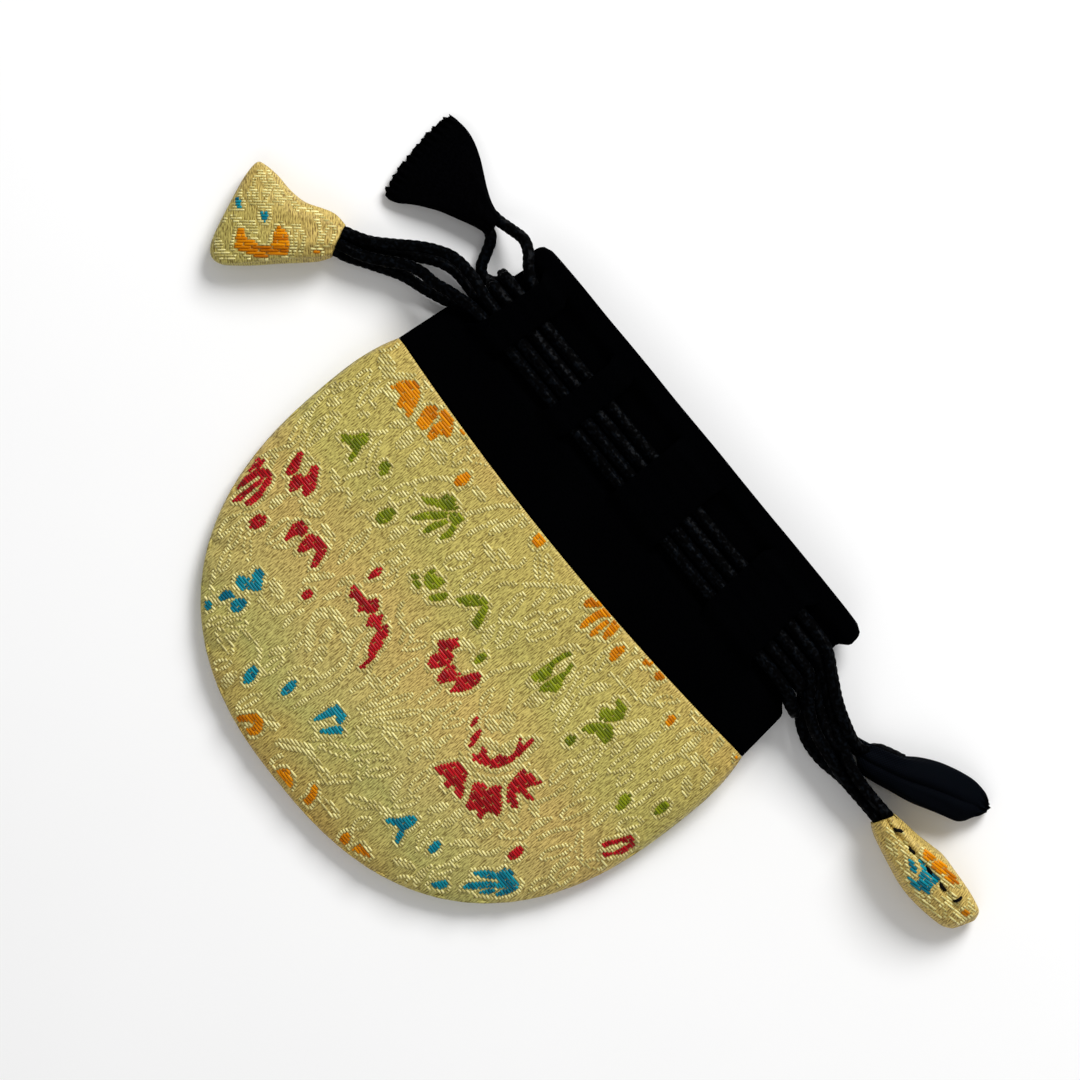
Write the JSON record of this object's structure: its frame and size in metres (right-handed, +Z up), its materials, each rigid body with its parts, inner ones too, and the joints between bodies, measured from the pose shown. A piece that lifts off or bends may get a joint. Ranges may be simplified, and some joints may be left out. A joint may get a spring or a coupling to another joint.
{
  "type": "brocade drawstring bag",
  "caption": "Small flat pouch of flowered brocade with a black velvet band, knitted drawstrings woven through slits, and cloth pulls.",
  "frame": {"origin": "on the surface that the bag lies on, under the middle of its pouch and band", "axes": "+X along the seam between brocade and velvet, +Y to the mouth, +Z up through the front"},
  "size_m": [0.2223, 0.1188, 0.0144],
  "materials": {
    "brocade": "straw gold silk brocade with coloured flowers",
    "velvet": "black velvet",
    "lining": "plain black lining satin",
    "knitted_cord": "black knitted cord",
    "black_cloth": "black satin with a pinked edge"
  },
  "bodies": {
    "root": {"front_panel": "brocade", "back_panel": "brocade", "lining": "lining", "front_band": "velvet", "back_band": "velvet", "left_upper_drawstring": "knitted_cord", "left_lower_drawstring": "knitted_cord", "right_lower_drawstring": "knitted_cord", "right_upper_drawstring": "knitted_cord", "left_front_tab_cord": "knitted_cord", "left_back_tab_cord": "knitted_cord", "right_front_tab_cord": "knitted_cord", "right_back_tab_cord": "knitted_cord", "left_brocade_pull": "brocade", "right_brocade_pull": "brocade", "left_black_pull": "black_cloth", "right_black_pull": "black_cloth"}
  },
  "joints": []
}
